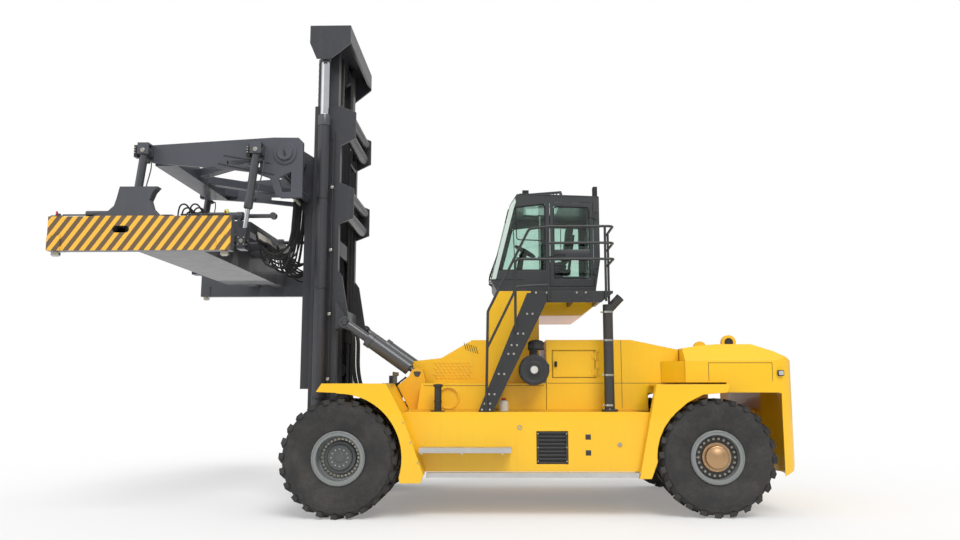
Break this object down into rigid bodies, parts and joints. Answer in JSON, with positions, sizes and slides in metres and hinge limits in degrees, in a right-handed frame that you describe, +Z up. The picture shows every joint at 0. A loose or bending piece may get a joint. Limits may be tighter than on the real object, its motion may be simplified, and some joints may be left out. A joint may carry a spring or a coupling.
{
  "type": "container handler forklift with top-lift spreader",
  "caption": "Heavy forklift truck with twin front wheels, raised cab, duplex mast, lift arms and a telescopic top-lift spreader for freight containers.",
  "frame": {"origin": "on the ground under the middle of the machine's overall box", "axes": "+X forwards to the spreader, +Y to the left, +Z up"},
  "size_m": [10.217, 6.033, 7.4934],
  "materials": {
    "body_yellow": "gloss",
    "frame_yellow": "gloss",
    "mast_grey": "satin",
    "cab_dark": "satin",
    "black_steel": "satin",
    "tyre_rubber": "matt",
    "rim_grey": "satin",
    "chrome": "polished",
    "aluminium": "brushed",
    "cast_engine": "rough",
    "glass": "clear",
    "seat_fabric": "woven",
    "plastic_dark": "matt",
    "stripe_beam": "gloss"
  },
  "bodies": {
    "chassis": {"chassis_frame": "frame_yellow", "mast_feet": "frame_yellow", "drive_axle": "black_steel", "steer_axle": "black_steel", "side_tanks": "body_yellow", "side_grilles": "black_steel", "side_steps": "aluminium", "fenders": "body_yellow", "counterweight": "body_yellow", "engine_hood": "body_yellow", "engine_block": "cast_engine", "exhaust_stack": "black_steel", "air_cleaner": "black_steel", "cab_pedestal": "body_yellow", "cab_shell": "cab_dark", "cab_glazing": "glass", "cab_interior": "plastic_dark", "seat_cushion": "seat_fabric", "access_platform": "black_steel", "handrails": "black_steel", "work_lamps": "plastic_dark", "chassis_hydraulics": "black_steel"},
    "cab_door": {"cab_door": "cab_dark", "cab_door_glass": "glass"},
    "hood_door_left": {"hood_door_left": "body_yellow"},
    "hood_door_right": {"hood_door_right": "body_yellow"},
    "mast_outer": {"outer_mast": "mast_grey", "lift_cylinders": "mast_grey"},
    "mast_inner": {"inner_mast": "mast_grey", "lift_rods": "chrome", "rear_chains": "black_steel"},
    "carriage": {"carriage": "mast_grey", "front_chains": "black_steel"},
    "lift_arms": {"lift_arms": "mast_grey", "slope_cylinders": "mast_grey"},
    "slope_rods_left": {"slope_rods_left": "chrome"},
    "slope_rods_right": {"slope_rods_right": "chrome"},
    "hanger_frame": {"hanger_frame": "mast_grey", "sway_cylinders": "mast_grey"},
    "spreader_frame": {"spreader_frame": "mast_grey"},
    "telescope_left": {"telescope_left": "stripe_beam"},
    "telescope_right": {"telescope_right": "stripe_beam"},
    "front_left_wheel": {"front_left_tyres": "tyre_rubber", "front_left_rims": "rim_grey"},
    "steer_left": {"steer_knuckle_left": "black_steel"},
    "rear_left_wheel": {"rear_left_tyre": "tyre_rubber", "rear_left_rim": "rim_grey"},
    "tilt_tube_left": {"tilt_tube_left": "mast_grey"},
    "tilt_rod_left": {"tilt_rod_left": "chrome"},
    "twistlock_left_front": {"twistlock_left_front": "black_steel"},
    "twistlock_left_rear": {"twistlock_left_rear": "black_steel"},
    "front_right_wheel": {"front_right_tyres": "tyre_rubber", "front_right_rims": "rim_grey"},
    "steer_right": {"steer_knuckle_right": "black_steel"},
    "rear_right_wheel": {"rear_right_tyre": "tyre_rubber", "rear_right_rim": "rim_grey"},
    "tilt_tube_right": {"tilt_tube_right": "mast_grey"},
    "tilt_rod_right": {"tilt_rod_right": "chrome"},
    "twistlock_right_front": {"twistlock_right_front": "black_steel"},
    "twistlock_right_rear": {"twistlock_right_rear": "black_steel"}
  },
  "joints": [
    {"name": "front_left_wheel_spin", "type": "hinge", "parent": "chassis", "child": "front_left_wheel", "pos_m": [1.3455, 1.885, 0.81], "axis": [0, 1, 0], "continuous": true},
    {"name": "steer_left", "type": "hinge", "parent": "chassis", "child": "steer_left", "pos_m": [-3.8945, 1.3, 0.81], "axis": [0, 0, 1], "range_deg": [-55, 55]},
    {"name": "rear_left_wheel_spin", "type": "hinge", "parent": "steer_left", "child": "rear_left_wheel", "pos_m": [-3.8945, 1.68, 0.81], "axis": [0, 1, 0], "continuous": true},
    {"name": "front_right_wheel_spin", "type": "hinge", "parent": "chassis", "child": "front_right_wheel", "pos_m": [1.3455, -1.885, 0.81], "axis": [0, 1, 0], "continuous": true},
    {"name": "steer_right", "type": "hinge", "parent": "chassis", "child": "steer_right", "pos_m": [-3.8945, -1.3, 0.81], "axis": [0, 0, 1], "range_deg": [-55, 55]},
    {"name": "rear_right_wheel_spin", "type": "hinge", "parent": "steer_right", "child": "rear_right_wheel", "pos_m": [-3.8945, -1.68, 0.81], "axis": [0, 1, 0], "continuous": true},
    {"name": "cab_door_hinge", "type": "hinge", "parent": "chassis", "child": "cab_door", "pos_m": [-2.3505, 0.966, 3.96], "axis": [0, 0, 1], "range_deg": [0, 95]},
    {"name": "hood_door_left_hinge", "type": "hinge", "parent": "chassis", "child": "hood_door_left", "pos_m": [-2.3005, 1.316, 2.1], "axis": [0, 0, 1], "range_deg": [0, 90]},
    {"name": "hood_door_right_hinge", "type": "hinge", "parent": "chassis", "child": "hood_door_right", "pos_m": [-2.3005, -1.316, 2.1], "axis": [0, 0, 1], "range_deg": [-90, 0]},
    {"name": "mast_tilt", "type": "hinge", "parent": "chassis", "child": "mast_outer", "pos_m": [1.7955, 0, 0.95], "axis": [0, 1, 0], "range_deg": [-10, 5]},
    {"name": "tilt_tube_left_pivot", "type": "hinge", "parent": "chassis", "child": "tilt_tube_left", "pos_m": [0.3605, 1, 1.975], "axis": [0, 1, 0], "range_deg": [-6.2, 3.4]},
    {"name": "tilt_rod_left_slide", "type": "slide", "parent": "tilt_tube_left", "child": "tilt_rod_left", "axis": [0.8186, 0, 0.5744], "range_m": [-0.31, 0.16]},
    {"name": "tilt_tube_right_pivot", "type": "hinge", "parent": "chassis", "child": "tilt_tube_right", "pos_m": [0.3605, -1, 1.975], "axis": [0, 1, 0], "range_deg": [-6.2, 3.4]},
    {"name": "tilt_rod_right_slide", "type": "slide", "parent": "tilt_tube_right", "child": "tilt_rod_right", "axis": [0.8186, 0, 0.5744], "range_m": [-0.31, 0.16]},
    {"name": "mast_lift", "type": "slide", "parent": "mast_outer", "child": "mast_inner", "axis": [0, 0, 1], "range_m": [-0.78, 2.7], "deforming": ["rear_chains"]},
    {"name": "carriage_lift", "type": "slide", "parent": "mast_inner", "child": "carriage", "axis": [0, 0, 1], "range_m": [-0.78, 2.7], "deforming": ["front_chains"]},
    {"name": "side_shift", "type": "slide", "parent": "carriage", "child": "lift_arms", "axis": [0, 1, 0], "range_m": [-0.35, 0.35]},
    {"name": "pile_slope", "type": "hinge", "parent": "lift_arms", "child": "hanger_frame", "pos_m": [3.8255, 0, 3.94], "axis": [0.9936, 0, 0.1128], "range_deg": [-4, 4]},
    {"name": "slope_rods_left_slide", "type": "slide", "parent": "lift_arms", "child": "slope_rods_left", "axis": [0.1128, 0, -0.9936], "range_m": [-0.11, 0.11]},
    {"name": "slope_rods_right_slide", "type": "slide", "parent": "lift_arms", "child": "slope_rods_right", "axis": [0.1128, 0, -0.9936], "range_m": [-0.11, 0.11]},
    {"name": "spreader_rotate", "type": "hinge", "parent": "hanger_frame", "child": "spreader_frame", "pos_m": [3.8755, 0, 4.05], "axis": [0, 0, 1], "range_deg": [-5, 5]},
    {"name": "telescope_left_extend", "type": "slide", "parent": "spreader_frame", "child": "telescope_left", "axis": [0, 1, 0], "range_m": [0, 3.05]},
    {"name": "telescope_right_extend", "type": "slide", "parent": "spreader_frame", "child": "telescope_right", "axis": [0, -1, 0], "range_m": [0, 3.05]},
    {"name": "twistlock_left_front_turn", "type": "hinge", "parent": "telescope_left", "child": "twistlock_left_front", "pos_m": [5.005, 2.9265, 3.6], "axis": [0, 0, 1], "range_deg": [0, 90]},
    {"name": "twistlock_left_rear_turn", "type": "hinge", "parent": "telescope_left", "child": "twistlock_left_rear", "pos_m": [2.746, 2.9265, 3.6], "axis": [0, 0, 1], "range_deg": [0, 90]},
    {"name": "twistlock_right_front_turn", "type": "hinge", "parent": "telescope_right", "child": "twistlock_right_front", "pos_m": [5.005, -2.9265, 3.6], "axis": [0, 0, 1], "range_deg": [0, 90]},
    {"name": "twistlock_right_rear_turn", "type": "hinge", "parent": "telescope_right", "child": "twistlock_right_rear", "pos_m": [2.746, -2.9265, 3.6], "axis": [0, 0, 1], "range_deg": [0, 90]}
  ],
  "couplings": [
    {"joint": "steer_right", "follows": "steer_left", "ratio": 1},
    {"joint": "tilt_tube_left_pivot", "follows": "mast_tilt", "ratio": 0.578},
    {"joint": "tilt_tube_right_pivot", "follows": "mast_tilt", "ratio": 0.578},
    {"joint": "tilt_rod_left_slide", "follows": "mast_tilt", "m_per_rad": 1.68},
    {"joint": "tilt_rod_right_slide", "follows": "mast_tilt", "m_per_rad": 1.68},
    {"joint": "carriage_lift", "follows": "mast_lift", "ratio": 1},
    {"joint": "slope_rods_left_slide", "follows": "pile_slope", "m_per_rad": -1.45},
    {"joint": "slope_rods_right_slide", "follows": "pile_slope", "m_per_rad": 1.45},
    {"joint": "telescope_right_extend", "follows": "telescope_left_extend", "ratio": 1},
    {"joint": "twistlock_left_rear_turn", "follows": "twistlock_left_front_turn", "ratio": 1},
    {"joint": "twistlock_right_front_turn", "follows": "twistlock_left_front_turn", "ratio": 1},
    {"joint": "twistlock_right_rear_turn", "follows": "twistlock_left_front_turn", "ratio": 1}
  ]
}
